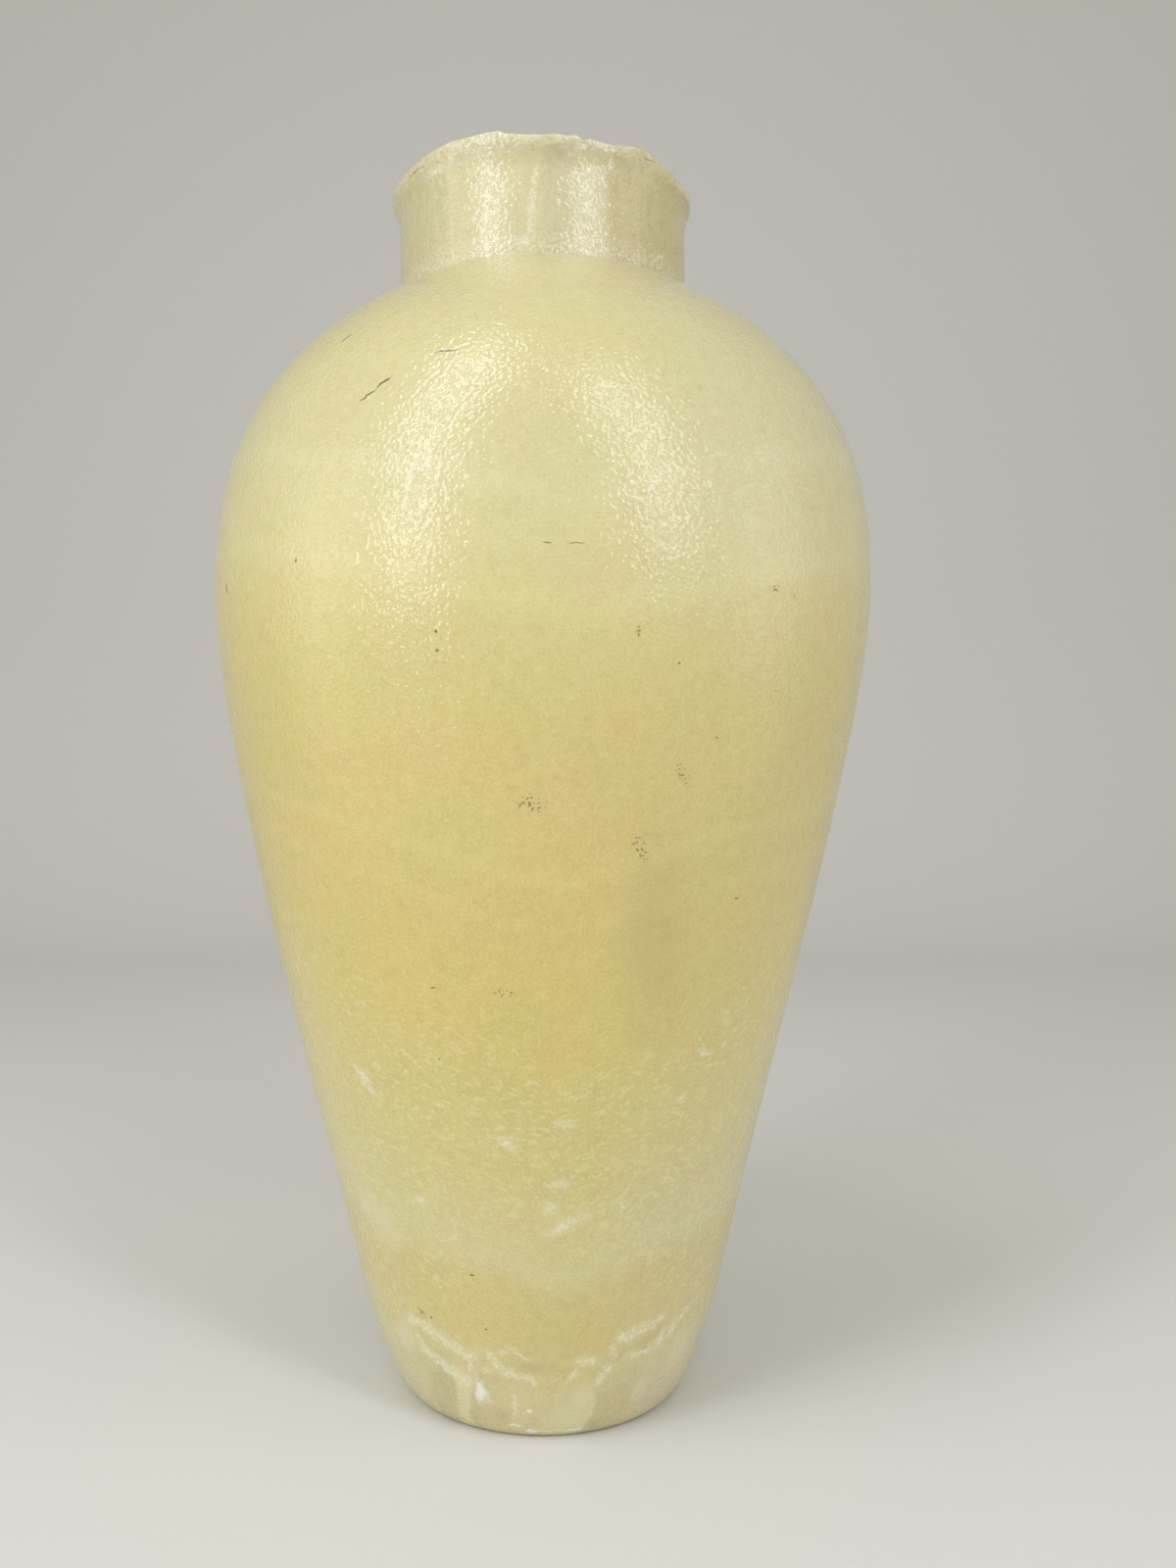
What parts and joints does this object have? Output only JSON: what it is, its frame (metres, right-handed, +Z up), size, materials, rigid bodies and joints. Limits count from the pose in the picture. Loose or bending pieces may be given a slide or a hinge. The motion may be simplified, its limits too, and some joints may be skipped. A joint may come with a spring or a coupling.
{
  "type": "ancient vase",
  "caption": "Tall hollow stone vase with a high round shoulder, a short collar neck with a worn, chipped lip, and flanks that taper to a small flat foot.",
  "frame": {"origin": "centre of the flat underside of the foot, on the surface that the vase stands on", "axes": "+Z up along the vase's axis, -Y towards the pictured front, +X to the right as seen from the front"},
  "size_m": [0.2284, 0.2288, 0.42],
  "materials": {
    "banded_calcite": "satin, hand-rubbed, with faint horizontal bands, milky veins at neck and foot and a fine crystalline sparkle"
  },
  "bodies": {
    "root": {"vase": "banded_calcite"}
  },
  "joints": []
}
